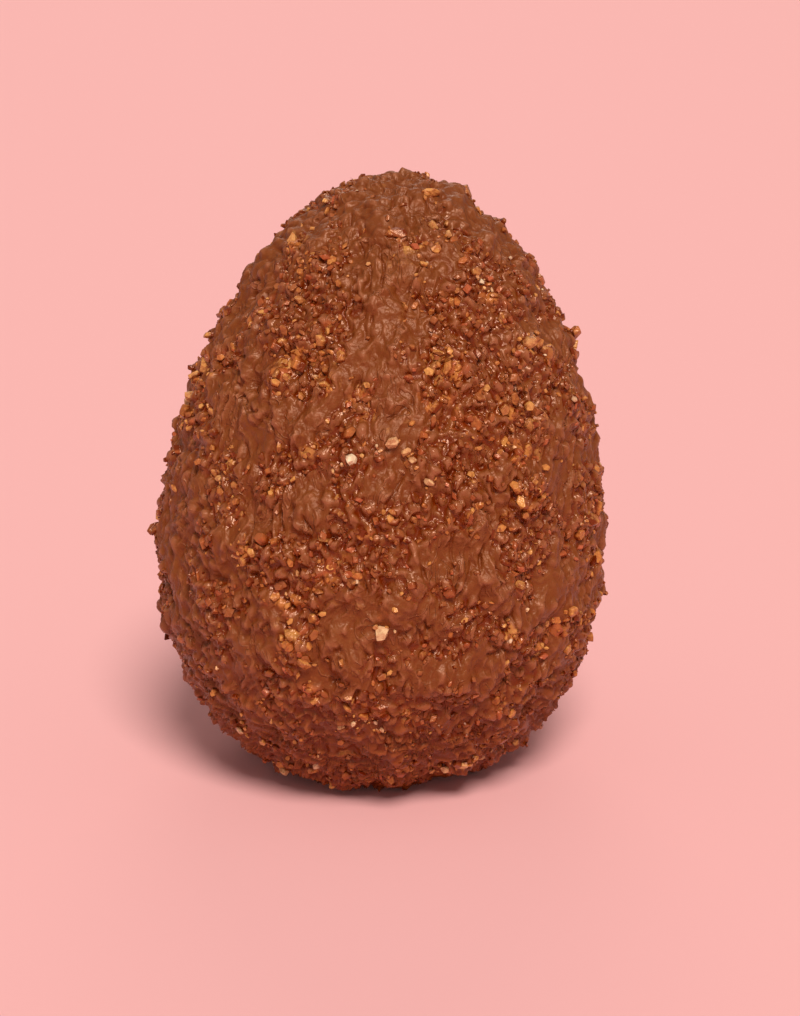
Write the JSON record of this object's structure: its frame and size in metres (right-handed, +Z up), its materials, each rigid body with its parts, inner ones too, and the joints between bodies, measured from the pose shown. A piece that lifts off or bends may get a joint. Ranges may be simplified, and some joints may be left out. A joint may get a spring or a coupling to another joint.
{
  "type": "chocolate egg",
  "caption": "Large milk chocolate egg coated all over with chopped roasted nuts, standing on a small flat spot at its broad end, its narrow end leaning slightly.",
  "frame": {"origin": "on the standing surface, under the middle of the egg's outline", "axes": "+Z up, towards the narrow end; -Y is the front; the narrow end leans towards +X"},
  "size_m": [0.1516, 0.151, 0.2033],
  "materials": {
    "milk_chocolate": "satin milk chocolate over chopped nuts",
    "roasted_nut": "matt roasted nut, amber to golden",
    "pale_nut": "matt cream nut flesh"
  },
  "bodies": {
    "root": {"egg": "milk_chocolate"}
  },
  "joints": []
}
